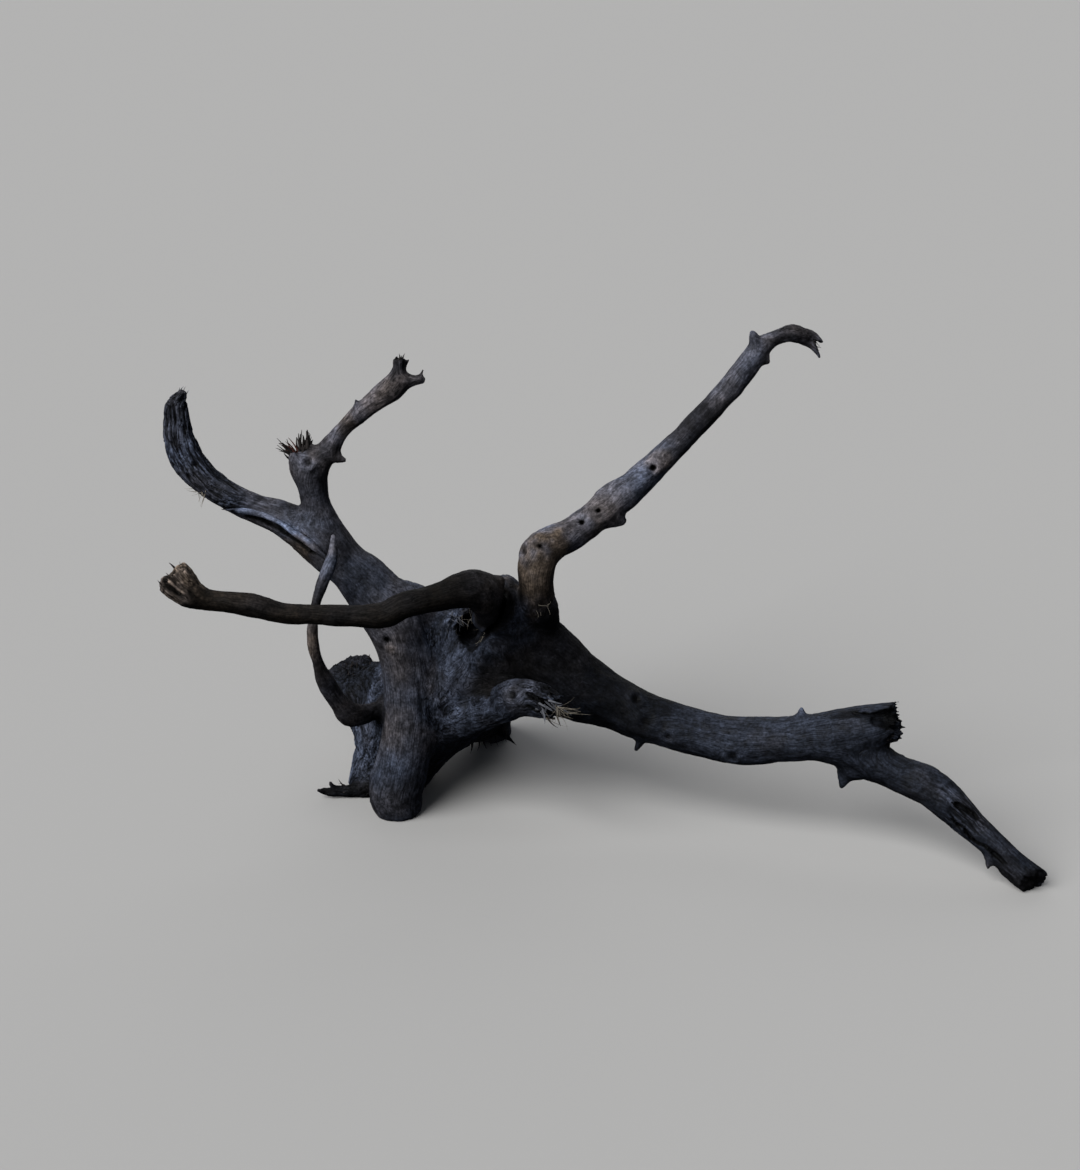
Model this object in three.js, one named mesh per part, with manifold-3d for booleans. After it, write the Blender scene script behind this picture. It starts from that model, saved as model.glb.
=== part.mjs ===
// A dry root: one weathered, barkless piece of wood with a thick leg, a burl behind it,
// and branches that run up, down and across from the burl.
// Millimetres, +Z up, origin on the floor at the middle of its footprint.
import * as THREE from 'three';
import { mergeVertices } from 'three/addons/utils/BufferGeometryUtils.js';
import Module from 'manifold-3d';

// ---- driving dimensions (mm) ----
const SCALE = 1;             // the whole root, against the lengths below
const STEP_LENGTH = 9;       // along a limb, between two rings of its skin
const THIN_STEP_LENGTH = 6;  // the same, on a limb that is nowhere thicker than THIN_RADIUS
const THIN_RADIUS = 7;
const THICK_SIDES = 16;      // sides of a ring
const THIN_SIDES = 9;
const FLOOR_DEPTH = 60;      // of the block that cuts the undersides flat at the floor
const FLOOR_SPAN = 800;
const SAME_POINT = 1e-4;     // points closer than this are one point of the skin

// ---- the limbs ----
// A limb is a chain of rings: [x, y, z, half width] or [x, y, z, half width, half thickness].
// Width is measured across the limb as seen from the front, and thickness along Y.

const LIMBS = {
  mainLimb: [
    [-99, -11, -6, 7], [-99, -11, 0, 9], [-100, -11, 5, 12], [-102, -10, 12, 14.3], [-98, -9, 26, 14],
    [-94, -8, 49, 13.5], [-93, -6, 70, 13.5], [-96, -3, 91, 14], [-103, 0, 108, 15], [-113, 3, 121, 13.5],
    [-125, 6, 133, 11], [-139, 8, 145, 11.5], [-155, 10, 155, 9], [-169, 12, 160, 7.2],
    [-183, 14, 166, 7, 8], [-196, 16, 175, 8, 6.5], [-204, 18, 185, 9, 5], [-207.5, 19, 195, 8, 4],
    [-208, 20, 205, 6.5, 3.5], [-207, 20, 213, 5, 3], [-204.5, 20, 218, 2.5, 2],
  ],
  burl: [
    [-69, 15, 108, 5], [-69, 15, 104, 14], [-73, 18, 89, 23], [-79, 23, 59, 30.5], [-91, 25, 39, 24],
    [-101, 24, 14, 13], [-102, 24, 7, 8],
  ],
  shoulder: [[-104, 1, 112, 9], [-94, 4, 114, 9.5], [-85, 8, 109, 9]],
  upperFork: [
    [-130, 7, 138, 10], [-136, 7, 151, 10], [-139, 7, 165, 7.5], [-140.5, 6, 177, 8], [-142, 5, 185, 8.5],
    [-145, 6, 191.5, 6.5],
  ],
  upperTwig: [
    [-140, 5, 183, 6], [-131, 3, 193, 5.5], [-124, 1, 203, 4], [-115.5, -1, 211.5, 4.3],
    [-106.5, -4, 219.5, 5], [-97, -7, 227, 5.5], [-93, -8, 232, 4],
  ],
  twigStubUp: [[-97, -7, 227, 4.5], [-94, -8, 235, 3.3], [-93, -9, 241.5, 3.3]],
  twigStubSide: [[-96, -7, 227, 4], [-90, -8, 230, 3.5], [-83, -9, 231.5, 2.2]],
  twigHook: [[-85, -9, 231.5, 1.6], [-83, -9, 234, 1], [-82, -9, 236, 0.7]],
  twigSpike: [[-92, -9, 236, 1.8], [-90, -9, 239, 1], [-88.5, -9, 241, 0.6]],
  twigSpur: [[-114, -1, 213, 2.5], [-115, -2, 217, 1.3], [-115.5, -2, 219.5, 0.7]],
  curlTwig: [
    [-101, 11, 51, 5.5], [-110, 3, 53, 4.5], [-117, -2, 53, 5.3], [-124.5, -8, 55.5, 6],
    [-129, -12, 63, 5], [-134, -16, 75, 4.6], [-137, -20, 86, 3.5], [-139, -23, 98, 2.6],
    [-139, -24, 109, 2.5], [-137, -25, 121, 2.4], [-135, -24, 128, 2.6], [-132, -22, 136, 3],
    [-129, -19, 143, 3], [-128, -16, 149, 1.8], [-128, -14, 154, 0.8],
  ],
  frontBranch: [
    [-56, 14, 82, 5], [-50, 3, 94, 5.5], [-49.5, -13, 110, 6.5], [-50.5, -32, 125, 9], [-56, -44, 136, 9],
    [-66, -50, 137.5, 7.8], [-78, -54, 136, 6.5], [-90, -57, 134, 6], [-99, -59, 130, 6],
    [-113, -61, 130, 5], [-129, -62, 131, 4.7], [-146, -63, 132, 4.8], [-159, -64, 136, 5],
    [-171, -64, 138, 4.6], [-182, -64, 139.3, 5.2], [-190, -63.5, 143, 7.4], [-195, -62.5, 148, 8.6],
    [-196.5, -62, 149.5, 8.2],
  ],
  frontHump: [[-66, -48, 138, 6], [-59, -44, 140, 6.5], [-53, -38, 136, 6]],
  knobLobe: [[-54, -40, 130, 7.5], [-48.5, -36, 133.5, 6.2], [-46.5, -35, 136.5, 4]],
  rightBranch: [
    [-47, -16, 127, 4, 5], [-46, -15, 121, 10, 11], [-42, -11, 107, 18, 14], [-35.5, -5, 91.5, 23, 17],
    [-24, -2, 79, 23.5, 20], [-9.5, -4, 70.5, 18.5, 18], [8, -9, 64, 14.3], [25, -15, 58, 12.5],
    [40, -20, 54.7, 11.8], [58, -25, 51.5, 11.7], [77, -31, 51.3, 12.1], [97, -37, 54.7, 11.3],
    [113, -42, 58.5, 11.7], [127, -46, 63, 12.3], [136, -48, 66.7, 11], [145, -49, 69.7, 10],
    [148, -50, 70.5, 10],
  ],
  web: [[-75, 21, 62, 24, 20], [-49, 15, 70, 20, 13], [-25, 3, 76, 20, 16]],
  cheek: [[-66, -3, 69, 8], [-56, -5, 73, 10], [-42, -7, 79, 12]],
  ridge: [
    [-75, -3, 66, 11.5], [-62, -7, 84, 9], [-50, -13, 103, 9], [-41, -17, 120, 9], [-42, -15, 129, 4],
  ],
  upBranch: [
    [-29, -3, 98, 7], [-25, -9, 109, 8.5], [-26.5, -18, 119, 9], [-27.5, -26, 131, 8.6],
    [-28, -28, 141, 9.2], [-26, -27, 149, 9.5], [-19.5, -23, 153.5, 8.3], [-12, -18, 155.5, 7.6],
    [-1.5, -13, 161.5, 7.8], [9.5, -7, 168.5, 8], [21, -2, 177, 7.5], [32, 3, 186, 6.8],
    [45, 8, 198, 6.2], [57.5, 13, 210.5, 6.2], [68, 17, 221, 6.3], [78, 20, 233, 6.1], [84, 22, 241, 5.3],
    [92, 23, 245.5, 4], [99, 23, 247.3, 4.8], [105, 22, 246, 3.8],
  ],
  upFoot: [[-31, -19, 119, 5.5], [-27, -20, 118.5, 6.8], [-23, -19, 118.5, 6]],
  upBump: [[7, -6, 170, 6], [11.5, -5, 174.5, 5], [14, -4, 177, 3]],
  upTipA: [[102, 23, 247, 2.5], [108, 22, 247.5, 1.7], [113, 21, 243.5, 1]],
  upTipB: [[103, 23, 245, 2.6], [108.5, 21, 242, 2.2], [112, 19, 236.5, 1.1]],
  upTipC: [[104, 22, 247, 2], [109, 21, 246, 1], [112, 20, 244.5, 0.7]],
  rightTip: [
    [120, -43, 56, 10], [131, -47, 52, 11], [141, -51, 48, 9.7], [153, -57, 44, 8.7],
    [164, -63, 40.5, 9.2], [173, -68, 35, 8.4], [183, -74, 27, 7.6], [192, -80, 20, 6.7],
    [201, -86, 12, 6.8], [211, -91, 5, 7.2],
  ],
  tipStepA: [[158, -59, 47, 5], [164, -61, 46, 4], [168, -63, 42, 3]],
  tipStepB: [[170, -64, 41, 5], [175, -65, 38.5, 4], [179, -68, 34, 3]],
  tipSpur: [[192, -82, 16, 4], [190.5, -84, 11, 2], [190, -85, 9, 0.9]],
  frontStub: [
    [-79, 7, 45, 16], [-68, -3, 52, 12.5], [-57, -15, 58, 9], [-46, -27, 67, 8], [-36, -37, 77, 9],
    [-27, -44, 79.5, 8.8], [-20, -48.5, 78, 7.6],
  ],
  stubKnob: [[-46, -31, 76, 5], [-40, -36, 80, 6.5], [-33, -40, 82.5, 5.5]],
  baseLeft: [
    [-88, 25, 48, 27], [-99, 23, 29, 27, 22], [-103, 21, 18, 23, 17], [-107, 19, 10, 21.5, 14],
    [-110, 18, 2, 20, 12], [-110, 18, -4, 18, 11],
  ],
  baseRight: [[-88, 28, 52, 25], [-97, 32, 27, 15], [-98, 35, 9, 11], [-98, 36, -3, 10]],
  oldStump: [
    [-85, 27, 41, 23], [-107, 35, 42, 22], [-123, 41, 46, 18], [-129, 43, 53, 15], [-130, 44, 59.5, 13],
  ],
  backRoot: [
    [-77, 29, 52, 26], [-67, 47, 37, 22], [-59, 65, 23, 16.5], [-55, 79, 10, 12], [-53, 87, 0, 10.5],
    [-52, 89, -6, 9],
  ],
  lowTwig: [[-113, 11, 5, 7], [-122, 8, 3.5, 4.5], [-132, 6, 3.5, 3], [-139, 5, 3.5, 2.5], [-144, 4, 5, 1]],
  lowTwigSpur: [[-134, 6, 4, 2.5], [-137, 5, 7, 1.2], [-138, 5, 9, 0.7]],
  bellySpur: [[-48, 48, 21, 3.8], [-43.5, 48, 15, 1.8], [-39, 47, 11, 0.7]],
  thornLeft: [[-130, 2, 192, 3.5], [-126, 1, 190, 2.5], [-122.5, 0, 189, 1]],
  thornFork: [[132, -47, 47, 8], [126, -48, 41, 4], [124, -49, 34.5, 1]],
  thornMiddle: [[27, -17, 49, 4], [25, -19, 44, 2], [23.5, -20, 41, 1.2]],
  thornRight: [[104, -36, 63, 5], [104, -36, 68, 2.2], [104, -36, 70.5, 1.2]],
  thornTop: [[81, 21, 240, 3.4], [79.5, 20, 246, 2.6], [79, 20, 248, 1.8]],
  thornUnder: [[84, 21, 236, 4], [86.5, 20, 234, 2]],
  elbowSpur: [[5, -9, 165, 6.5], [11, -10, 161.5, 4.2], [14.5, -10, 160.5, 2.2]],
  rope: [
    [-186, 6.5, 161.5, 0.6], [-178, 3.2, 162, 1.3], [-166, 2.6, 160, 1.6], [-156, 0, 156.3, 1.6],
    [-146, -3.7, 150.3, 1.6], [-138, -6, 144.8, 1.5], [-131, -7.2, 138.4, 0.8],
  ],
  frontTipLobe: [[-194, -63, 146, 6], [-198.5, -65, 147, 4.2], [-200, -65, 147.5, 2.4]],
  frontTipCrest: [[-192, -61, 147, 6], [-193, -61, 151, 4], [-192.5, -61, 154, 2]],
};
// The back root runs away from the front, so its width is measured across X instead.
const ALONG_Y = ['backRoot'];

const wasm = await Module();
wasm.setup();

function toSolid(geometry) {
  geometry.deleteAttribute('normal');
  geometry.deleteAttribute('uv');
  const merged = mergeVertices(geometry, SAME_POINT);
  return new wasm.Manifold(new wasm.Mesh({
    numProp: 3,
    vertProperties: new Float32Array(merged.attributes.position.array),
    triVerts: new Uint32Array(merged.index.array),
  }));
}

function toGeometry(solid) {
  const mesh = solid.getMesh();
  const geometry = new THREE.BufferGeometry();
  geometry.setAttribute('position', new THREE.BufferAttribute(mesh.vertProperties, 3));
  geometry.setIndex(new THREE.BufferAttribute(mesh.triVerts, 1));
  geometry.computeVertexNormals();
  return geometry;
}

// The value between two rings, at `place` rings along the chain, with a smooth start and end.
function between(rings, place, index) {
  const ring = Math.min(Math.floor(place), rings.length - 2);
  const part = place - ring;
  const smooth = part * part * (3 - 2 * part);
  const low = rings[ring][index] ?? rings[ring][3];
  const high = rings[ring + 1][index] ?? rings[ring + 1][3];
  return low + (high - low) * smooth;
}

// A cylinder bent along the curve through the rings' centres, with the rings' widths.
function limb(rings, thicknessWay) {
  const centres = rings.map(([x, y, z]) => new THREE.Vector3(x, y, z));
  const curve = new THREE.CatmullRomCurve3(centres, false, 'centripetal');
  const widest = Math.max(...rings.map((ring) => ring[3]));
  const stepLength = widest < THIN_RADIUS ? THIN_STEP_LENGTH : STEP_LENGTH;
  const sides = widest < THIN_RADIUS ? THIN_SIDES : THICK_SIDES;
  const steps = Math.max(2, Math.round(curve.getLength() / stepLength));
  const geometry = new THREE.CylinderGeometry(1, 1, 1, sides, steps);
  const position = geometry.attributes.position;
  const across = new THREE.Vector3();
  const deep = new THREE.Vector3();
  const point = new THREE.Vector3();
  for (let i = 0; i < position.count; i += 1) {
    const along = curve.getUtoTmapping(0.5 + position.getY(i));
    const place = along * (rings.length - 1);
    const tangent = curve.getTangent(along);
    across.crossVectors(tangent, thicknessWay).normalize();
    deep.crossVectors(across, tangent).normalize();
    point.copy(curve.getPoint(along));
    point.addScaledVector(across, position.getX(i) * between(rings, place, 3));
    point.addScaledVector(deep, position.getZ(i) * between(rings, place, 4));
    position.setXYZ(i, point.x, point.y, point.z);
  }
  return toSolid(geometry);
}

// Everything below the floor is worn away, which leaves the flat patches that the root stands on.
function belowFloor() {
  const slab = new THREE.BoxGeometry(FLOOR_SPAN, FLOOR_SPAN, FLOOR_DEPTH);
  slab.translate(0, 0, -FLOOR_DEPTH / 2);
  return toSolid(slab);
}

function dryRoot() {
  const acrossX = new THREE.Vector3(1, 0, 0);
  const acrossY = new THREE.Vector3(0, 1, 0);
  const limbs = Object.entries(LIMBS).map(([name, rings]) => {
    const thicknessWay = ALONG_Y.includes(name) ? acrossX : acrossY;
    return limb(rings, thicknessWay);
  });
  const whole = limbs.reduce((sum, next) => sum.add(next));
  const geometry = toGeometry(whole.subtract(belowFloor()));
  geometry.scale(SCALE, SCALE, SCALE);
  return geometry;
}

const weatheredWood = new THREE.MeshStandardMaterial({ color: 0x4b4a4d, roughness: 0.85, metalness: 0 });

const root = new THREE.Group();
const body = new THREE.Mesh(dryRoot(), weatheredWood);
body.name = 'dry_root';
root.add(body);

export default root;
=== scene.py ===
"""A dry root: one weathered, barkless piece of wood with a leg, a burl and long bent branches."""
import math

import bpy
import numpy as np
from mathutils import Matrix, Vector


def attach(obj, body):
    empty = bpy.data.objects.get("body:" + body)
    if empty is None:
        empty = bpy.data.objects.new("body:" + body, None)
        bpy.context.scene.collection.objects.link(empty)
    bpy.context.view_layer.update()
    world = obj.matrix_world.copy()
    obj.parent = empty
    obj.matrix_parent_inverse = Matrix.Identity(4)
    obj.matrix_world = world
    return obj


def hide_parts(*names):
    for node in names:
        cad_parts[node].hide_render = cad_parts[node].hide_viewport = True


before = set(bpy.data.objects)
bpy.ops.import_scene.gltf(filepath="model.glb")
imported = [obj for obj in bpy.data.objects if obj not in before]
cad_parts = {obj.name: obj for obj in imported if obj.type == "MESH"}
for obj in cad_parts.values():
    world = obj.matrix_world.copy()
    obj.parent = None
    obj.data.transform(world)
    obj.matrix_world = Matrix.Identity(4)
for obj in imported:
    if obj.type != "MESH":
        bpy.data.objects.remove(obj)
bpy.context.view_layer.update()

MM = 0.001
NODE = "dry_root"
BODY = "root"

# ---------------------------------------------------------------- camera
CAMERA_PLACE = (-26, -774.5, 405.2)  # mm
CAMERA_DOWN = 20                     # degrees below level
CAMERA_LENS = 50                     # mm, on a 36 mm frame


def make_camera():
    data = bpy.data.cameras.new("camera")
    data.lens = CAMERA_LENS
    camera = bpy.data.objects.new("camera", data)
    camera.location = [c * MM for c in CAMERA_PLACE]
    camera.rotation_euler = (math.radians(90 - CAMERA_DOWN), 0, 0)
    bpy.context.scene.collection.objects.link(camera)
    bpy.context.scene.camera = camera


make_camera()

# ---------------------------------------------------------------- the limbs
# A limb is a chain of rings, in mm: [x, y, z, half width] or [x, y, z, half width, half thickness].
# Width is measured across the limb as seen from the front, and thickness along Y.
# Each limb has the radius of the fillet that joins it to the limbs before it.

LIMBS = {
    "main_limb": (6, [
        [-99, -11, -6, 7], [-99, -11, 0, 9], [-100, -11, 5, 12], [-102, -10, 12, 14.3],
        [-98, -9, 26, 14], [-94, -8, 49, 13.5], [-93, -6, 70, 13.5], [-96, -3, 91, 14],
        [-103, 0, 108, 15], [-113, 3, 121, 13.5], [-125, 6, 133, 11], [-139, 8, 145, 11.5],
        [-155, 10, 155, 9], [-169, 12, 160, 7.2], [-183, 14, 166, 7, 8], [-196, 16, 175, 8, 6.5],
        [-204, 18, 185, 9, 5], [-207.5, 19, 195, 8, 4], [-208, 20, 205, 6.5, 3.5], [-207, 20, 213, 5, 3],
        [-204.5, 20, 218, 2.5, 2],
    ]),
    "burl": (10, [
        [-69, 15, 108, 5], [-69, 15, 104, 14], [-73, 18, 89, 23], [-79, 23, 59, 30.5], [-91, 25, 39, 24],
        [-101, 24, 14, 13], [-102, 24, 7, 8],
    ]),
    "shoulder": (5, [[-104, 1, 112, 9], [-94, 4, 114, 9.5], [-85, 8, 109, 9]]),
    "upper_fork": (6, [
        [-130, 7, 138, 10], [-136, 7, 151, 10], [-139, 7, 165, 7.5], [-140.5, 6, 177, 8],
        [-142, 5, 185, 8.5], [-145, 6, 191.5, 6.5],
    ]),
    "upper_twig": (5, [
        [-140, 5, 183, 6], [-131, 3, 193, 5.5], [-124, 1, 203, 4], [-115.5, -1, 211.5, 4.3],
        [-106.5, -4, 219.5, 5], [-97, -7, 227, 5.5], [-93, -8, 232, 4],
    ]),
    "twig_stub_up": (3, [[-97, -7, 227, 4.5], [-94, -8, 235, 3.3], [-93, -9, 241.5, 3.3]]),
    "twig_stub_side": (3, [[-96, -7, 227, 4], [-90, -8, 230, 3.5], [-83, -9, 231.5, 2.2]]),
    "twig_hook": (1, [[-85, -9, 231.5, 1.6], [-83, -9, 234, 1], [-82, -9, 236, 0.7]]),
    "twig_spike": (1, [[-92, -9, 236, 1.8], [-90, -9, 239, 1], [-88.5, -9, 241, 0.6]]),
    "twig_spur": (1.5, [[-114, -1, 213, 2.5], [-115, -2, 217, 1.3], [-115.5, -2, 219.5, 0.7]]),
    "curl_twig": (5, [
        [-101, 11, 51, 5.5], [-110, 3, 53, 4.5], [-117, -2, 53, 5.3], [-124.5, -8, 55.5, 6],
        [-129, -12, 63, 5], [-134, -16, 75, 4.6], [-137, -20, 86, 3.5], [-139, -23, 98, 2.6],
        [-139, -24, 109, 2.5], [-137, -25, 121, 2.4], [-135, -24, 128, 2.6], [-132, -22, 136, 3],
        [-129, -19, 143, 3], [-128, -16, 149, 1.8], [-128, -14, 154, 0.8],
    ]),
    "front_branch": (4, [
        [-56, 14, 82, 5], [-50, 3, 94, 5.5], [-49.5, -13, 110, 6.5], [-50.5, -32, 125, 9], [-56, -44, 136, 9],
        [-66, -50, 137.5, 7.8], [-78, -54, 136, 6.5], [-90, -57, 134, 6], [-99, -59, 130, 6],
        [-113, -61, 130, 5], [-129, -62, 131, 4.7], [-146, -63, 132, 4.8], [-159, -64, 136, 5],
        [-171, -64, 138, 4.6], [-182, -64, 139.3, 5.2], [-190, -63.5, 143, 7.4], [-195, -62.5, 148, 8.6],
        [-196.5, -62, 149.5, 8.2],
    ]),
    "front_hump": (4, [[-66, -48, 138, 6], [-59, -44, 140, 6.5], [-53, -38, 136, 6]]),
    "knob_lobe": (2, [[-54, -40, 130, 7.5], [-48.5, -36, 133.5, 6.2], [-46.5, -35, 136.5, 4]]),
    "right_branch": (8, [
        [-47, -16, 127, 4, 5], [-46, -15, 121, 10, 11], [-42, -11, 107, 18, 14], [-35.5, -5, 91.5, 23, 17],
        [-24, -2, 79, 23.5, 20], [-9.5, -4, 70.5, 18.5, 18], [8, -9, 64, 14.3], [25, -15, 58, 12.5],
        [40, -20, 54.7, 11.8], [58, -25, 51.5, 11.7], [77, -31, 51.3, 12.1], [97, -37, 54.7, 11.3],
        [113, -42, 58.5, 11.7], [127, -46, 63, 12.3], [136, -48, 66.7, 11], [145, -49, 69.7, 10],
        [148, -50, 70.5, 10],
    ]),
    "web": (10, [[-75, 21, 62, 24, 20], [-49, 15, 70, 20, 13], [-25, 3, 76, 20, 16]]),
    "cheek": (8, [[-66, -3, 69, 8], [-56, -5, 73, 10], [-42, -7, 79, 12]]),
    "ridge": (8, [
        [-75, -3, 66, 11.5], [-62, -7, 84, 9], [-50, -13, 103, 9], [-41, -17, 120, 9], [-42, -15, 129, 4],
    ]),
    "up_branch": (4, [
        [-29, -3, 98, 7], [-25, -9, 109, 8.5], [-26.5, -18, 119, 9], [-27.5, -26, 131, 8.6],
        [-28, -28, 141, 9.2], [-26, -27, 149, 9.5], [-19.5, -23, 153.5, 8.3], [-12, -18, 155.5, 7.6],
        [-1.5, -13, 161.5, 7.8], [9.5, -7, 168.5, 8], [21, -2, 177, 7.5], [32, 3, 186, 6.8],
        [45, 8, 198, 6.2], [57.5, 13, 210.5, 6.2], [68, 17, 221, 6.3], [78, 20, 233, 6.1],
        [84, 22, 241, 5.3], [92, 23, 245.5, 4], [99, 23, 247.3, 4.8], [105, 22, 246, 3.8],
    ]),
    "up_foot": (1.2, [[-31, -19, 119, 5.5], [-27, -20, 118.5, 6.8], [-23, -19, 118.5, 6]]),
    "up_bump": (4, [[7, -6, 170, 6], [11.5, -5, 174.5, 5], [14, -4, 177, 3]]),
    "up_tip_a": (1.5, [[102, 23, 247, 2.5], [108, 22, 247.5, 1.7], [113, 21, 243.5, 1]]),
    "up_tip_b": (1.5, [[103, 23, 245, 2.6], [108.5, 21, 242, 2.2], [112, 19, 236.5, 1.1]]),
    "up_tip_c": (1, [[104, 22, 247, 2], [109, 21, 246, 1], [112, 20, 244.5, 0.7]]),
    "right_tip": (6, [
        [120, -43, 56, 10], [131, -47, 52, 11], [141, -51, 48, 9.7], [153, -57, 44, 8.7],
        [164, -63, 40.5, 9.2], [173, -68, 35, 8.4], [183, -74, 27, 7.6], [192, -80, 20, 6.7],
        [201, -86, 12, 6.8], [211, -91, 5, 7.2],
    ]),
    "tip_step_a": (3, [[158, -59, 47, 5], [164, -61, 46, 4], [168, -63, 42, 3]]),
    "tip_step_b": (3, [[170, -64, 41, 5], [175, -65, 38.5, 4], [179, -68, 34, 3]]),
    "tip_spur": (2, [[192, -82, 16, 4], [190.5, -84, 11, 2], [190, -85, 9, 0.9]]),
    "front_stub": (8, [
        [-79, 7, 45, 16], [-68, -3, 52, 12.5], [-57, -15, 58, 9], [-46, -27, 67, 8], [-36, -37, 77, 9],
        [-27, -44, 79.5, 8.8], [-20, -48.5, 78, 7.6],
    ]),
    "stub_knob": (3, [[-46, -31, 76, 5], [-40, -36, 80, 6.5], [-33, -40, 82.5, 5.5]]),
    "base_left": (8, [
        [-88, 25, 48, 27], [-99, 23, 29, 27, 22], [-103, 21, 18, 23, 17], [-107, 19, 10, 21.5, 14],
        [-110, 18, 2, 20, 12], [-110, 18, -4, 18, 11],
    ]),
    "base_right": (8, [[-88, 28, 52, 25], [-97, 32, 27, 15], [-98, 35, 9, 11], [-98, 36, -3, 10]]),
    "old_stump": (8, [
        [-85, 27, 41, 23], [-107, 35, 42, 22], [-123, 41, 46, 18], [-129, 43, 53, 15], [-130, 44, 59.5, 13],
    ]),
    "back_root": (10, [
        [-77, 29, 52, 26], [-67, 47, 37, 22], [-59, 65, 23, 16.5], [-55, 79, 10, 12], [-53, 87, 0, 10.5],
        [-52, 89, -6, 9],
    ]),
    "low_twig": (4, [
        [-113, 11, 5, 7], [-122, 8, 3.5, 4.5], [-132, 6, 3.5, 3], [-139, 5, 3.5, 2.5], [-144, 4, 5, 1],
    ]),
    "low_twig_spur": (1, [[-134, 6, 4, 2.5], [-137, 5, 7, 1.2], [-138, 5, 9, 0.7]]),
    "belly_spur": (3, [[-48, 48, 21, 3.8], [-43.5, 48, 15, 1.8], [-39, 47, 11, 0.7]]),
    "thorn_left": (3, [[-130, 2, 192, 3.5], [-126, 1, 190, 2.5], [-122.5, 0, 189, 1]]),
    "thorn_fork": (4, [[132, -47, 47, 8], [126, -48, 41, 4], [124, -49, 34.5, 1]]),
    "thorn_middle": (2, [[27, -17, 49, 4], [25, -19, 44, 2], [23.5, -20, 41, 1.2]]),
    "thorn_right": (2, [[104, -36, 63, 5], [104, -36, 68, 2.2], [104, -36, 70.5, 1.2]]),
    "thorn_top": (2, [[81, 21, 240, 3.4], [79.5, 20, 246, 2.6], [79, 20, 248, 1.8]]),
    "thorn_under": (2, [[84, 21, 236, 4], [86.5, 20, 234, 2]]),
    "elbow_spur": (3, [[5, -9, 165, 6.5], [11, -10, 161.5, 4.2], [14.5, -10, 160.5, 2.2]]),
    "rope": (0.7, [
        [-186, 6.5, 161.5, 0.6], [-178, 3.2, 162, 1.3], [-166, 2.6, 160, 1.6], [-156, 0, 156.3, 1.6],
        [-146, -3.7, 150.3, 1.6], [-138, -6, 144.8, 1.5], [-131, -7.2, 138.4, 0.8],
    ]),
    "front_tip_lobe": (2, [[-194, -63, 146, 6], [-198.5, -65, 147, 4.2], [-200, -65, 147.5, 2.4]]),
    "front_tip_crest": (2, [[-192, -61, 147, 6], [-193, -61, 151, 4], [-192.5, -61, 154, 2]]),
}
# The back root runs away from the front, so its width is measured across X instead.
ALONG_Y = {"back_root"}

# Broken ends: how many mm the fracture runs in and out along the limb.
BROKEN = {
    "upper_fork": 2.5, "twig_stub_up": 1.5, "front_branch": 3.0, "right_branch": 3.5, "right_tip": 1.5,
    "old_stump": 1.6, "front_stub": 5,
}
# The way a broken end faces, where it isn't square across the limb.
SLANTED = {"right_tip": (0.45, -0.85, -0.2), "old_stump": (-0.3, -0.1, 0.95)}

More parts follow.
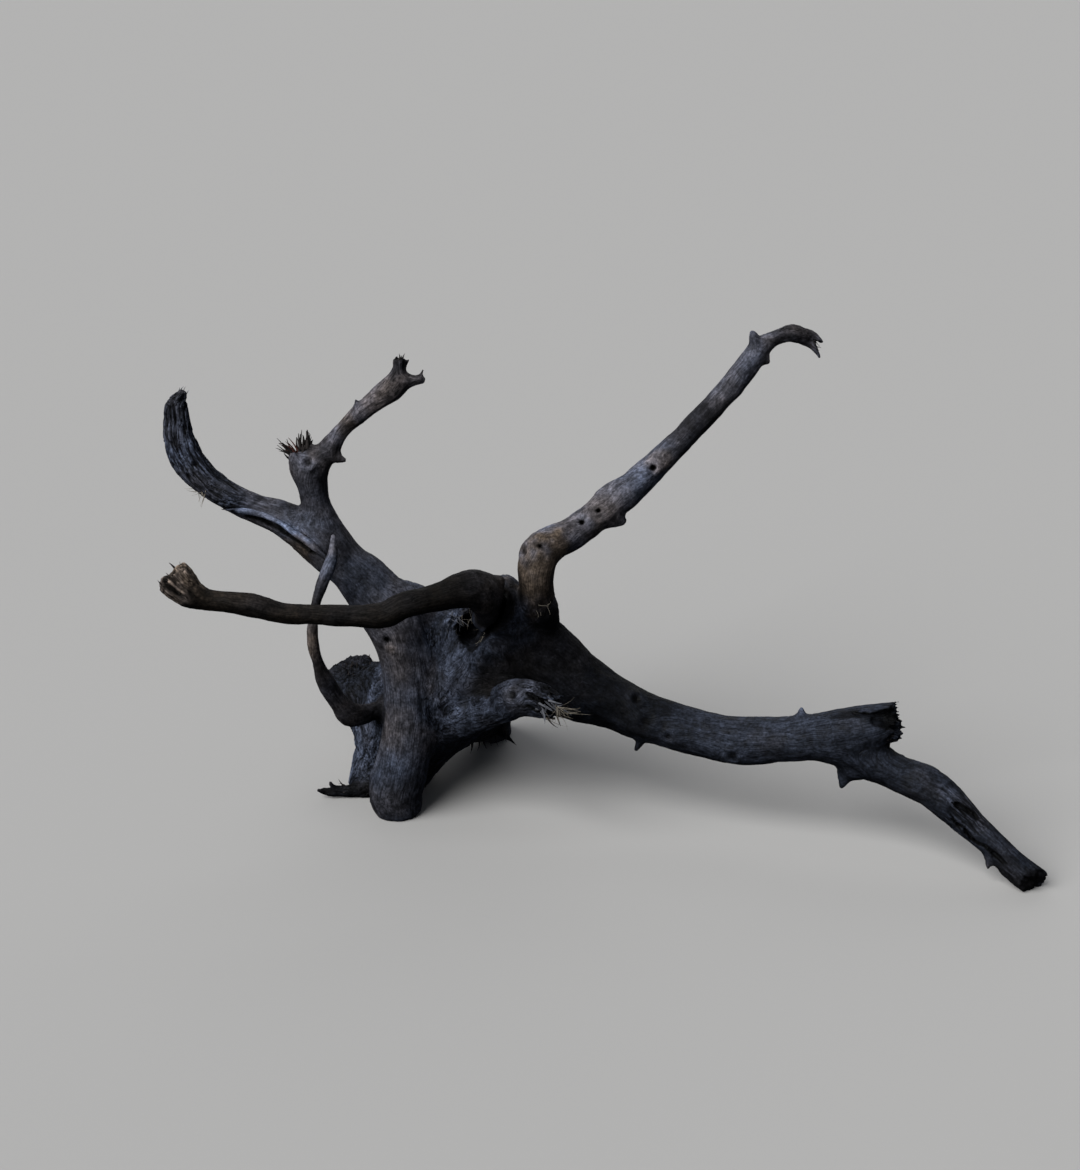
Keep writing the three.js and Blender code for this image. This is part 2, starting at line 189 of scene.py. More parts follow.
# Cracks, holes and rotted-out places, as chains that are cut out of the wood: fillet, rings.
HOLLOWS = {
    "right_branch_heart": (1, [[150, -61, 75.5, 4.8, 8], [142.5, -59, 75.5, 4.8, 8], [137, -56, 75, 3, 5]]),
    "right_branch_split": (0.3, [
        [116, -50, 72, 0.35, 2], [125, -53, 74.5, 0.5, 4], [137, -56, 75.5, 0.8, 5],
    ]),
    "under_knob": (1.2, [
        [-59, -27, 104, 4], [-60.5, -16, 102, 6.5], [-61.5, -5, 100.5, 7.5], [-62, 6, 97, 5],
    ]),
    "under_knob_low": (1.5, [[-62, -20, 95, 1.5], [-60, -13, 98, 3], [-58, -5, 99, 3]]),
    "knob_crevice": (1, [
        [-43, -31, 134, 0.8, 6], [-44, -38, 127, 1.1, 6], [-47, -32, 117, 1.3, 7], [-51.5, -26, 108, 1.4, 7],
        [-58, -19, 100, 1.3, 6],
    ]),
    "rope_crevice": (0.8, [
        [-174, 4.5, 158, 0.5, 2], [-166, 3.5, 156.7, 0.9, 3.5], [-159, 0.5, 153.7, 1.1, 4],
        [-152, -2, 150.1, 1.0, 4], [-146, -4, 146.4, 0.9, 4], [-140, -5.5, 142.2, 0.6, 3],
    ]),
    "leg_crevice": (1, [
        [-115, -2, 34, 0.9, 5], [-117, -6, 24, 1.5, 7], [-116.5, -9, 15, 1.7, 7], [-114, -10, 8, 1.2, 5],
    ]),
    "tip_pit": (0.8, [
        [172, -72, 38.5, 0.4, 1.5], [177, -75.5, 37, 1.1, 2], [181, -77.5, 35, 1, 2],
        [184, -79, 33, 0.4, 1.5],
    ]),
    "tip_rot": (0.8, [
        [174, -77, 30.5, 0.4, 2], [179, -80, 26.5, 0.7, 2.5], [182, -82, 22.5, 0.9, 2.5],
        [187, -85, 21, 0.5, 2], [192, -88, 17.5, 0.8, 2.5], [196, -91, 14.5, 0.4, 1.5],
    ]),
    "front_tip_hollow": (1, [[-200, -65, 157, 4], [-197, -65, 151, 2.4], [-195, -65, 147, 0.8]]),
    "front_tip_split": (0.6, [[-202, -70, 152, 1.6, 4], [-197, -71, 148, 1.4, 4], [-192, -71, 144, 0.6, 2]]),
    "stub_pit": (1, [[-19, -58, 80, 3.2], [-22, -52, 79, 2.8], [-25, -47, 78, 1.5]]),
    "stub_split_a": (0.5, [[-33, -50, 85, 0.6, 3], [-27, -53, 83, 1, 4], [-20, -54, 80.5, 1.1, 4]]),
    "stub_split_b": (0.5, [[-31, -45, 90, 0.6, 3], [-25, -48, 88, 1, 4], [-18, -50, 85, 1.1, 5]]),
    "stub_split_c": (0.5, [[-32, -51, 79, 0.5, 2], [-25, -55, 76.5, 0.9, 3.5], [-18, -56, 73.5, 1, 4]]),
    "leg_hole": (0.5, [[-103, -19, 101, 0.7], [-103, -11, 98, 0.8]]),
    "up_hole_elbow": (0.4, [[-26, -40, 158, 0.9], [-26, -30, 154, 0.8]]),
    "up_hole_middle": (0.4, [[-6, -24, 165, 0.9], [-5, -15, 160, 0.8]]),
    "up_hole_right": (0.4, [[2, -20, 170, 0.8], [3, -12, 165, 0.8]]),
    "up_hole_knot": (0.4, [[29, -8, 188, 0.9], [31, 1, 184, 0.8]]),
    "back_hole_low": (0.4, [[-60, 60, 50, 1.1], [-66, 45, 42, 0.8]]),
    "back_hole_high": (0.4, [[-74, 48, 84, 1.1], [-75, 34, 80, 0.8]]),
    "back_split": (0.8, [
        [-98, 58, 52, 0.8, 4], [-92, 57, 38, 1.5, 6], [-88, 56, 24, 1.6, 6], [-86, 54, 12, 1, 4],
    ]),
}

# Knots: where a twig once grew. Place, radius, height of the ring round it, depth of its heart, in mm.
KNOTS = [
    ([-140, -3, 188], 3.2, 0.9, 0.6), ([-34, -32, 152], 4.2, 0.6, 0.5), ([29, -4, 186], 3.4, 0.9, 0.6),
    ([-6, -20, 164], 3, 0.4, 0.4), ([23, -21, 69], 4, 0.9, 1.2), ([28, -27, 60], 5, 0.8, 0.9),
    ([39, -31, 54], 3, 0.5, 0.8), ([-103, -15, 100], 4, 0.5, 0.3), ([-40, -45, 82], 4, 0.6, 0.8),
    ([-74, -15, 61], 6, 0.7, 0.6), ([70, -41, 47], 4, 0.5, 0.8), ([-56, 33, 92], 5, 0.8, 1.0),
    ([60, -14, 58], 4, 0.6, 0.8), ([-96, 45, 66], 4, 0.7, 1.0), ([150, -50, 53], 3, 0.5, 0.6),
    ([-70, 62, 40], 6, 0.9, 1.2),
]

# How each limb's wood has weathered: depth of its grooves in mm, brownness 0 to 1, and how pale it is.
PLAIN_LOOK = (0.25, 0.35, 1.0)
LOOKS = {
    "burl": (0.5, 0.05, 0.95), "upper_fork": (0.2, 0.35, 0.95), "upper_twig": (0.3, 0.6, 2.0),
    "twig_stub_up": (0.5, 0.3, 0.5), "twig_stub_side": (0.4, 0.5, 1.1), "twig_hook": (0.2, 0.4, 0.6),
    "twig_spike": (0.2, 0.4, 0.5), "curl_twig": (0.25, 0.5, 0.57), "front_branch": (0.2, 0.8, 0.14),
    "front_hump": (0.15, 0.7, 0.22), "knob_lobe": (0.15, 0.7, 0.3), "right_branch": (0.25, 0.0, 0.3),
    "ridge": (0.45, 0.1, 1.1), "web": (0.3, 0.3, 0.3), "cheek": (0.3, 0.3, 0.3), "up_branch": (0.2, 0.3, 1.4),
    "up_foot": (0.3, 0.9, 0.55), "up_bump": (0.2, 0.3, 1.4), "right_tip": (0.3, 0.0, 0.27),
    "tip_step_a": (0.3, 0.0, 0.45), "tip_step_b": (0.3, 0.0, 0.45), "front_stub": (0.55, 0.0, 0.68),
    "stub_knob": (0.5, 0.0, 0.6), "base_left": (0.8, 0.0, 1.6), "base_right": (0.7, 0.1, 0.6),
    "old_stump": (0.7, 0.1, 0.3), "back_root": (0.5, 0.2, 0.7), "low_twig": (0.6, 0.3, 0.12),
    "low_twig_spur": (0.3, 0.3, 0.18), "belly_spur": (0.4, 0.3, 0.2), "thorn_left": (0.1, 0.3, 0.6),
    "thorn_middle": (0.1, 0.2, 0.3), "thorn_fork": (0.2, 0.0, 0.35), "rope": (0.1, 0.1, 2.9),
    "front_tip_lobe": (0.8, 0.9, 2.0), "front_tip_crest": (0.8, 0.9, 1.6),
}

# Places that have weathered otherwise, and a few painted darker as shade: place, reach in mm, then groove
# depth, brownness, paleness.
STAINS = [
    ([-202, 18, 196], 36, 1.1, 0.15, 1.15), ([-186, 14, 170], 18, 0.9, 0.2, 0.8),
    ([-122, 0, 128], 26, 0.25, 0.3, 0.62), ([-102, 4, 114], 14, 0.25, 0.2, 0.7),
    ([-197, -63, 149], 17, 0.8, 0.95, 3.1), ([-160, -64, 135], 30, 0.2, 0.9, 0.2),
    ([-78, -53, 137], 26, 0.2, 0.8, 0.06), ([-54, -42, 130], 19, 0.2, 0.6, 0.38),
    ([-24, -28, 140], 24, 0.15, 1.0, 1.1), ([-28, -24, 116], 11, 0.3, 0.95, 0.5),
    # Painted shade: the dark stains at (-8, -16, 92), (-44, -17, 79) and (20, -15, 70) darken the recess of
    # the body below the up branch.
    ([8, -10, 168], 18, 0.15, 0.6, 1.5), ([-8, -16, 92], 42, 0.3, 0.35, 0.18),
    ([-44, -17, 79], 18, 0.3, 0.4, 0.28), ([-40, -23, 118], 13, 0.4, 0.1, 0.75),
    ([-50, -22, 103], 9, 0.3, 0.2, 0.9), ([20, -15, 70], 32, 0.3, 0.05, 0.08),
    ([80, -42, 54], 40, 0.3, 0.0, 0.42), ([120, -50, 68], 26, 0.3, 0.0, 0.4),
    ([50, 14, 204], 26, 0.2, 0.2, 0.3), ([70, 15, 224], 14, 0.2, 0.3, 1.2),
    ([102, 22, 246], 14, 0.4, 0.5, 0.6), ([33, -2, 189], 8, 0.2, 0.7, 1.7),
    ([-112, -14, 80], 20, 0.2, 0.3, 0.9), ([-100, -18, 14], 26, 0.3, 0.15, 0.64),
    ([-100, -14, 3], 9, 0.9, 0.1, 0.55), ([-101, -16, 95], 3.5, 0.2, 0.5, 2.0),
    ([-70, -6, 107], 9, 1.0, 0.0, 1.9), ([-78, -10, 98], 9, 0.9, 0.0, 1.2),
    ([-62, 2, 103], 9, 0.8, 0.3, 0.3), ([-78, -14, 62], 14, 0.8, 0.0, 1.0),
    ([-24, -50, 81], 11, 1.2, 0.0, 0.6), ([-30, -46, 88], 5, 1.0, 0.0, 1.5),
    # Painted shade: the two stains on this line blacken the inside of the stub's pit and of the right
    # branch's hollow end.
    ([-22, -54, 79], 4.5, 0.8, 0.5, 0.12), ([144, -57, 77], 9, 0.4, 0.1, 0.07),
    ([147, -58, 63], 5, 1.0, 0.1, 0.9), ([206, -92, 9], 17, 0.4, 0.1, 0.25),
    ([212, -97, 4], 11, 0.3, 0.3, 0.07), ([180, -78, 33], 13, 1.0, 0.1, 0.7),
    ([170, -72, 42], 6, 0.5, 0.0, 1.0), ([-128, 40, 60], 12, 0.8, 0.2, 0.28),
    ([-146, 7, 193], 8, 0.6, 0.6, 0.3), ([-138, -24, 106], 15, 0.2, 0.8, 2.1),
    ([-136, -25, 123], 5, 0.2, 0.6, 0.3), ([-130, -20, 140], 9, 0.2, 0.1, 1.4),
    ([-128, -16, 151], 7, 0.1, 0.4, 2.0), ([-45, 35, 22], 30, 0.6, 0.2, 0.15),
    ([-85, 20, 12], 26, 0.6, 0.2, 0.25), ([-148, -2, 141], 12, 0.3, 0.9, 0.9),
    ([-200, 19, 172], 7, 0.9, 0.6, 1.3), ([-118, -6, 18], 8, 0.6, 0.2, 0.25),
    ([-120, 0, 206], 9, 0.3, 0.9, 1.0), ([-104, -5, 222], 6, 0.3, 0.8, 0.9),
    ([-132, 2, 193], 12, 0.2, 0.6, 0.8),
]

# The share of their reach over which the stains fade out.
STAIN_EDGE = 0.5

# Painted light and shade: what faces up is painted paler and the undersides darker: the level wood's
# paleness, and the change.
LEVEL_PAINTED_LIGHT = 0.98
TOP_PAINTED_LIGHT = 0.4

FINE = 0.7          # mm, the grid that the skin is drawn on
BLOCK = 8           # grid steps in a block
RING_STEP = 3.0     # mm between two stations of a limb
THINNEST = 0.4      # mm, the least half width of a limb or a hollow
FAR = 3.0           # mm that a limb's fillet reaches past its blend radius
CERTAIN = 1.3       # block radii from the skin past which a block can't hold any of it


# ---------------------------------------------------------------- noise
NOISE_CELLS = 256  # along each axis, before the noise repeats
PERMUTATION = np.random.default_rng(11).permutation(NOISE_CELLS)
GRADIENTS = np.array([
    (1, 1, 0), (-1, 1, 0), (1, -1, 0), (-1, -1, 0), (1, 0, 1), (-1, 0, 1), (1, 0, -1), (-1, 0, -1),
    (0, 1, 1), (0, -1, 1), (0, 1, -1), (0, -1, -1),
], float)


def noise(points, seed=0):
    """Perlin's gradient noise with its quintic ease, about -1 to 1, one value a point."""
    whole = np.floor(points).astype(np.int64)
    part = points - whole
    last = NOISE_CELLS - 1
    ease = part * part * part * (part * (part * 6 - 15) + 10)
    total = np.zeros(len(points))
    for corner in np.ndindex(2, 2, 2):
        cell = whole + corner
        pick = PERMUTATION[(cell[:, 0] + seed) & last]
        pick = PERMUTATION[(pick + cell[:, 1]) & last]
        pick = PERMUTATION[(pick + cell[:, 2]) & last]
        slope = (GRADIENTS[pick % len(GRADIENTS)] * (part - corner)).sum(1)
        weight = np.prod(np.where(corner, ease, 1 - ease), axis=1)
        total += slope * weight
    return total


# ---------------------------------------------------------------- chains of rings
def smooth_chain(rings):
    """Stations every RING_STEP along the centripetal Catmull-Rom curve through the rings."""
    knots = np.array([r if len(r) == 5 else r + [r[3]] for r in rings], float)
    knots = np.vstack([2 * knots[0] - knots[1], knots, 2 * knots[-1] - knots[-2]])
    gaps = np.sqrt(np.linalg.norm(np.diff(knots[:, :3], axis=0), axis=1))
    times = np.concatenate([[0], np.cumsum(gaps)])
    stations = []
    for i in range(1, len(knots) - 2):
        p0, p1, p2, p3 = knots[i - 1:i + 3]
        t0, t1, t2, t3 = times[i - 1:i + 3]
        count = max(2, math.ceil(np.linalg.norm(p2[:3] - p1[:3]) / RING_STEP))
        t = (t1 + (t2 - t1) * np.arange(count) / count)[:, None]
        a1 = (t1 - t) / (t1 - t0) * p0 + (t - t0) / (t1 - t0) * p1
        a2 = (t2 - t) / (t2 - t1) * p1 + (t - t1) / (t2 - t1) * p2
        a3 = (t3 - t) / (t3 - t2) * p2 + (t - t2) / (t3 - t2) * p3
        b1 = (t2 - t) / (t2 - t0) * a1 + (t - t0) / (t2 - t0) * a2
        b2 = (t3 - t) / (t3 - t1) * a2 + (t - t1) / (t3 - t1) * a3
        stations.append((t2 - t) / (t2 - t1) * b1 + (t - t1) / (t2 - t1) * b2)
    stations.append(knots[-2][None])
    stations = np.vstack(stations)
    stations[:, 3:] = np.maximum(stations[:, 3:], THINNEST)
    return stations


class Chains:
    """All the limbs, or all the hollows, as one list of short straight pieces."""

    def __init__(self, chains):
        self.names = list(chains)
        self.fillet = np.array([chains[name][0] for name in self.names], float)
        parts = {key: [] for key in ("start", "step", "width", "depth", "across", "deep", "limb", "place")}
        self.end = []
        self.length = []
        for number, name in enumerate(self.names):
            station = smooth_chain(chains[name][1])
            step = np.diff(station[:, :3], axis=0)
            length = np.linalg.norm(step, axis=1)
            thickness_way = np.array([1.0, 0, 0] if name in ALONG_Y else [0, 1.0, 0])
            across = np.cross(step / length[:, None], thickness_way)
            across /= np.linalg.norm(across, axis=1)[:, None]
            parts["start"].append(station[:-1, :3])
            parts["step"].append(step)
            parts["width"].append(np.stack([station[:-1, 3], station[1:, 3]], 1))
            parts["depth"].append(np.stack([station[:-1, 4], station[1:, 4]], 1))
            parts["across"].append(across)
            parts["deep"].append(np.cross(across, step / length[:, None]))
            parts["limb"].append(np.full(len(step), number))
            ends = np.concatenate([[0], np.cumsum(length)])
            parts["place"].append(np.stack([ends[:-1], ends[1:]], 1))
            self.end.append((station[-1, :3], np.array(SLANTED.get(name, step[-1] / length[-1]))))
            self.length.append(ends[-1])
        for key, value in parts.items():
            setattr(self, key, np.concatenate(value))
        self.long = np.linalg.norm(self.step, axis=1)
        along = self.step / self.long[:, None]
        self.axes = [(way.T, (self.start * way).sum(1)) for way in (along, self.across, self.deep)]
        self.middle = self.start + self.step / 2
        self.reach = np.maximum(self.width.max(1), self.depth.max(1)) + self.long / 2
        self.offset = np.zeros(len(self.names))

    def near(self, centre, distance):
        """The pieces that come within `distance` of a place."""
        gap = np.linalg.norm(self.middle - centre, axis=1) - self.reach
        return np.nonzero(gap < distance)[0]

    def tube(self, points, pieces):
        """Distance to one limb's skin, and where on the limb: along, across and deep."""
        along, x, y = (points @ way[:, pieces] - start[pieces] for way, start in self.axes)
        t = np.clip(along / self.long[pieces], 0, 1)
        z = along - t * self.long[pieces]
        a = self.width[pieces, 0] + t * (self.width[pieces, 1] - self.width[pieces, 0])
        b = self.depth[pieces, 0] + t * (self.depth[pieces, 1] - self.depth[pieces, 0])
        c = np.minimum(a, b)
        xa, yb, zc = x / a, y / b, z / c
        size = np.sqrt(xa * xa + yb * yb + zc * zc)
        xa, yb, zc = xa / a, yb / b, zc / c
        distance = (size - 1) * size / (np.sqrt(xa * xa + yb * yb + zc * zc) + 1e-9)
        rows = np.arange(len(points))
        best = distance.argmin(1)
        first = self.place[pieces[best], 0]
        place = first + t[rows, best] * (self.place[pieces[best], 1] - first)
        return distance[rows, best], np.stack([place, x[rows, best], y[rows, best]], 1)


def join(a, b, fillet):
    """The union of two distances, with a fillet."""
    h = np.maximum(fillet - np.abs(a - b), 0) / fillet
    return np.minimum(a, b) - h * h * fillet / 4


FRACTURE_REACH = 20  # mm back from a broken end that the fracture can touch
# The stubs that a break leaves: width in mm, share of the height, level in the noise, seed.
BREAKS = [(1.7, 1.0, 3.7, 5), (5, 0.8, 9.1, 6)]


def fracture(where, size):
    """How far a broken end sticks out, over the limb's section: stubs that stand along the grain."""
    rise = 0
    for width, share, level, seed in BREAKS:
        section = np.column_stack([where[:, 1:] / width, np.full(len(where), level)])
        rise = rise + share * noise(section, seed)
    return size * rise


NOWHERE = 99.0     # mm, stands for any distance that is too far to matter
RAGGED = 0.8       # how far a hollow's wall wanders in and out, as a share of its fillet
RAGGED_SIZE = 2.8  # mm, the size of its bays
GRAIN_MERGE = 2.0  # mm over which one limb's grain turns into the next limb's
WALL_EDGE = 0.8    # mm over which the painted shade on a hollow's wall fades into the skin
# Along, across and deep, then groove, brown and pale, which change over a third of GRAIN_MERGE.
MERGE_POWERS = [1, 1, 1, 3, 3, 3]
GRAIN_COLUMNS = len(MERGE_POWERS) + 1  # the last is how much it is a hollow's wall, which the material paints in shade


def wood_distance(points, pieces, hollow_pieces, with_grain=False):
    """Distance to the wood's skin, below 0 inside.

    If asked, also the grain's own coordinates, the wood's look, and how much it is a hollow's wall.
    """
    total = None
    near = []
    for number in np.unique(limbs.limb[pieces]):
        name = limbs.names[number]
        own = pieces[limbs.limb[pieces] == number]
        distance, where = limbs.tube(points, own)
        if name in BROKEN:
            tip, way = limbs.end[number]
            close = np.nonzero(where[:, 0] > limbs.length[number] - FRACTURE_REACH)[0]
            ahead = (points[close] - tip) @ way - fracture(where[close], BROKEN[name])
            distance[close] = np.maximum(distance[close], ahead)
        near.append((number, distance, where))
        total = distance if total is None else join(total, distance, limbs.fillet[number])
    if total is None:
        return np.full(len(points), NOWHERE), np.zeros((len(points), GRAIN_COLUMNS))
    to_hollow = np.full(len(points), NOWHERE)
    rough = RAGGED * noise(points / RAGGED_SIZE, 41) if len(hollow_pieces) else 0
    for number in np.unique(hollows.limb[hollow_pieces]):
        own = hollow_pieces[hollows.limb[hollow_pieces] == number]
        distance = hollows.tube(points, own)[0] + rough * hollows.fillet[number]
        to_hollow = np.minimum(to_hollow, np.abs(distance))
        total = -join(-total, distance, hollows.fillet[number])
    total = np.maximum(total, -points[:, 2])
    if not with_grain:
        return total, None
    closest = np.min([distance for _, distance, _ in near], axis=0)
    blend = np.zeros((len(points), len(MERGE_POWERS)))
    weights = np.zeros_like(blend)
    for number, distance, where in near:
        weight = np.exp(-(distance - closest) / GRAIN_MERGE)[:, None] ** MERGE_POWERS
        look = LOOKS.get(limbs.names[number], PLAIN_LOOK)
        along = where[:, 0] + limbs.offset[number]
        blend += weight * np.column_stack([along, where[:, 1:], np.tile(look, (len(points), 1))])
        weights += weight
    return total, np.column_stack([blend / weights, np.exp(-(to_hollow / WALL_EDGE) ** 2)])


def evaluate_together(points, with_grain=False):
    """wood_distance for points that lie close together."""
    centre = (points.min(0) + points.max(0)) / 2
    radius = np.linalg.norm(points.max(0) - points.min(0)) / 2
    pieces = limbs.near(centre, radius + limbs.fillet.max() + FAR)
    return wood_distance(points, pieces, hollows.near(centre, radius + FAR), with_grain)


NEIGHBOURHOOD = 9.0  # mm
MOST_CELLS = 1024    # neighbourhoods along an axis that one code can hold


def evaluate(points, cell=NEIGHBOURHOOD, with_grain=False):
    """wood_distance for any points, a small neighbourhood at a time."""
    key = np.floor(points / cell).astype(np.int64) + MOST_CELLS // 2
    code = (key[:, 0] * MOST_CELLS + key[:, 1]) * MOST_CELLS + key[:, 2]
    order = np.argsort(code, kind="stable")
    bounds = np.nonzero(np.diff(code[order]))[0] + 1
    distance = np.zeros(len(points))
    grain = np.zeros((len(points), GRAIN_COLUMNS)) if with_grain else None
    for group in np.split(order, bounds):
        distance[group], own = evaluate_together(points[group], with_grain)
        if with_grain:
            grain[group] = own
    return distance, grain


limbs = Chains(LIMBS)
hollows = Chains(HOLLOWS)


def line_up_grain():
    """A limb's grain starts where its parent's is, so that the two run on into each other."""
    for number in range(1, len(limbs.names)):
        base = limbs.start[limbs.limb == number][:1]
        earlier = np.nonzero(limbs.limb < number)[0]
        gap = np.linalg.norm(limbs.middle[earlier] - base, axis=1) - limbs.reach[earlier]
        parent = limbs.limb[earlier[gap.argmin()]]
        own = np.nonzero(limbs.limb == parent)[0]
        _, where = limbs.tube(base, own)
        limbs.offset[number] = limbs.offset[parent] + where[0, 0]


line_up_grain()


# ---------------------------------------------------------------- the skin
MARGIN = 4  # mm of air round the wood


def skin(step):
    """The wood's surface as vertices and quads, by surface nets on a grid."""
    low = (limbs.start - limbs.reach[:, None]).min(0) - MARGIN
    high = (limbs.start + limbs.reach[:, None]).max(0) + MARGIN
    low[2] = -3 * step
    side = step * BLOCK
    radius = side / 2 * math.sqrt(3)
    blocks = np.ceil((high - low) / side).astype(int)
    index = np.stack(np.meshgrid(*[np.arange(n) for n in blocks], indexing="ij"), -1).reshape(-1, 3)
    value = np.full(blocks * BLOCK, NOWHERE, np.float32)
    ticks = np.stack(np.meshgrid(*[np.arange(BLOCK)] * 3, indexing="ij"), -1).reshape(-1, 3) * step
    middle_distance, _ = evaluate(low + (index + 0.5) * side - step / 2, 4 * side)
    for spot, distance in zip(index, middle_distance):
        spans = tuple(slice(i * BLOCK, (i + 1) * BLOCK) for i in spot)
        if abs(distance) > CERTAIN * radius:
            value[spans] = distance
            continue
        corner = low + spot * side
        distance, _ = evaluate_together(corner + ticks)
        value[spans] = distance.reshape(BLOCK, BLOCK, BLOCK)
    return nets(value, low, step)


CORNERS = list(np.ndindex(2, 2, 2))
EDGES = [
    (a, b) for a in CORNERS for b in CORNERS
    if sum(b) - sum(a) == 1 and all(x <= y for x, y in zip(a, b))
]


def nets(value, low, step):
    """Surface nets: one vertex in each cell that the surface passes through, one quad round each edge."""
    inside = value < 0
    shape = np.array(value.shape) - 1
    count = sum(inside[tuple(slice(c, c + n) for c, n in zip(corner, shape))].astype(np.int8)
                for corner in CORNERS)
    cells = np.flatnonzero((count > 0) & (count < len(CORNERS)))
    place = np.stack(np.unravel_index(cells, shape), 1)
    total = np.zeros((len(cells), 3))
    hits = np.zeros(len(cells))
    for a, b in EDGES:
        va = value[tuple((place + a).T)]
        vb = value[tuple((place + b).T)]
        cross = (va < 0) != (vb < 0)
        t = np.where(cross, va / np.where(cross, va - vb, 1), 0)
        spot = np.array(a) + t[:, None] * (np.array(b) - np.array(a))
        total += np.where(cross[:, None], spot, 0)
        hits += cross
    verts = low + step * (place + total / hits[:, None])
    quads = []
    for axis in range(3):
        one, two = [(1, 2), (2, 0), (0, 1)][axis]
        here = place[(place[:, one] > 0) & (place[:, two] > 0)]
        shift = np.eye(3, dtype=int)
        va = value[tuple(here.T)] < 0
        vb = value[tuple((here + shift[axis]).T)] < 0
        turn = va != vb
        here, leaving = here[turn], va[turn]
        ring = [here, here - shift[one], here - shift[one] - shift[two], here - shift[two]]
        index = [np.searchsorted(cells, np.ravel_multi_index(tuple(r.T), shape)) for r in ring]
        quad = np.stack(index, 1)
        quad[~leaving] = quad[~leaving][:, ::-1]
        quads.append(quad)
    return verts, np.concatenate(quads)


def normals_of(verts, quads):
    """The way each vertex faces, from the quads round it."""
    a, b, c, d = (verts[quads[:, i]] for i in range(4))
    face = np.cross(c - a, d - b)
    total = np.zeros_like(verts)
    for i in range(4):
        for axis in range(3):
            total[:, axis] += np.bincount(quads[:, i], face[:, axis], len(verts))
    return total / np.maximum(np.linalg.norm(total, axis=1), 1e-9)[:, None]


# How a stain's edge wanders: share of its reach, size in mm, seed.
WANDERS = [(0.45, 11, 21), (0.3, 4, 22)]


def look_at(verts, look):
    """The limbs' looks with the stains laid over them: groove depth, brownness, paleness."""
    look = look.copy()
    wander = 1
    for share, size, seed in WANDERS:
        wander = wander + share * noise(verts / size, seed)
    for place, reach, *other in STAINS:
        gap = np.linalg.norm(verts - place, axis=1) / (reach * wander)
        close = gap < 1
        cover = np.clip((1 - gap[close]) / STAIN_EDGE, 0, 1)
        cover = (cover * cover * (3 - 2 * cover))[:, None]
        look[close] += cover * (np.array(other) - look[close])
    return look


SWAY = 0.8      # mm that the grain sways to each side
SWAY_SIZE = 8   # mm, the size of a sway
KNOT_BOW = 1.6  # knot radii over which the grain bows round a knot


def bent_grain(verts, grain):
    """The grain sways a little, and bows round every knot."""
    bent = grain.copy()
    for column, seed in ((1, 31), (2, 32)):
        bent[:, column] += SWAY * noise(verts / SWAY_SIZE, seed)
    for place, radius, _, _ in KNOTS:
        gap = np.linalg.norm(verts - place, axis=1) / (KNOT_BOW * radius)
        bow = radius * np.exp(-gap * gap)
        bent[:, 1] += bow
        bent[:, 2] += bow
    return bent


# Swellings that ignore the grain: height and size in mm, seed.
SWELLS = [(0.8, 17, 1), (0.25, 6, 7)]
# What runs with the grain: width and length in mm, seed.
FLUTES = (4.5, 45, 2)
RIBS = (1.9, 16, 3)
BROAD_CUTS = (2.6, 30, 4)
NARROW_CUTS = (1.5, 13, 8)
FLUTE_HEIGHT = 0.45  # mm
RIB_HEIGHT = 0.45    # mm, where the limb's grooves are 1 mm deep
CUT_DEPTH = 0.8      # the same, and less where they are shallower
NARROW_SHARE = 0.6   # of the depth of a broad cut
BROAD_EDGE = 0.10    # how much of the noise's range a broad cut takes
NARROW_EDGE = 0.12   # the same for a narrow cut
KNOT_RING = 0.4      # how wide a knot's raised ring is, in knot radii
KNOT_HEART = 0.5     # the same for its sunken heart


def drawn_out(grain, width, length, seed):
    """Noise drawn out along the grain."""
    long, x, y = grain.T
    return noise(np.column_stack([x / width, y / width, long / length]), seed)


def hump(gap, width):
    """1 where the gap is 0, and fading out over the width."""
    return np.exp(-(gap / width) ** 2)


def relief(verts, grain, groove):
    """How far the bare wood stands proud of its smooth limbs, in mm, and how much of that is weathering."""
    swell = 0
    for height, size, seed in SWELLS:
        swell = swell + height * noise(verts / size, seed)
    flutes = FLUTE_HEIGHT * drawn_out(grain, *FLUTES)
    broad = hump(np.abs(drawn_out(grain, *BROAD_CUTS)), BROAD_EDGE)
    narrow = hump(np.abs(drawn_out(grain, *NARROW_CUTS)), NARROW_EDGE)
    cuts = broad + NARROW_SHARE * narrow
    wear_and_shade = groove * (RIB_HEIGHT * drawn_out(grain, *RIBS) - CUT_DEPTH * cuts)
    for place, radius, height, depth in KNOTS:
        gap = np.linalg.norm(verts - place, axis=1) / radius
        wear_and_shade += height * hump(gap - 1, KNOT_RING) - depth * hump(gap, KNOT_HEART)
    return swell + flutes + wear_and_shade, wear_and_shade


# How far out from the skin to look for more wood, in mm, and how much it counts towards the painted shade.
LOOKOUTS = [(2.5, 0.3), (6, 0.35), (13, 0.35)]


def occlusion_shade(verts, normals):
    """How closed in the wood is at each point: 0 in the open, 1 deep in a hollow. The material paints shade
    by it.
    """
    closed = np.zeros(len(verts))
    for height, share in LOOKOUTS:
        distance, _ = evaluate(verts + normals * height)
        closed += share * np.clip(1 - distance / height, 0, 1)
    return closed


def new_object(name, verts, faces):
    """A mesh object in the scene."""
    mesh = bpy.data.meshes.new(name)
    mesh.from_pydata([tuple(v) for v in verts], [], [tuple(f) for f in faces])
    mesh.update()
    obj = bpy.data.objects.new(name, mesh)
    bpy.context.scene.collection.objects.link(obj)
    return obj


SKIN_TRIANGLES = 195000  # of the finished root


def store(mesh, name, kind, values):
    """Keep a value for every vertex on the mesh, for the materials."""
    layer = mesh.attributes.new(name, kind, "POINT")
    field = "vector" if kind == "FLOAT_VECTOR" else "value"
    layer.data.foreach_set(field, np.ascontiguousarray(values, np.float32).ravel())


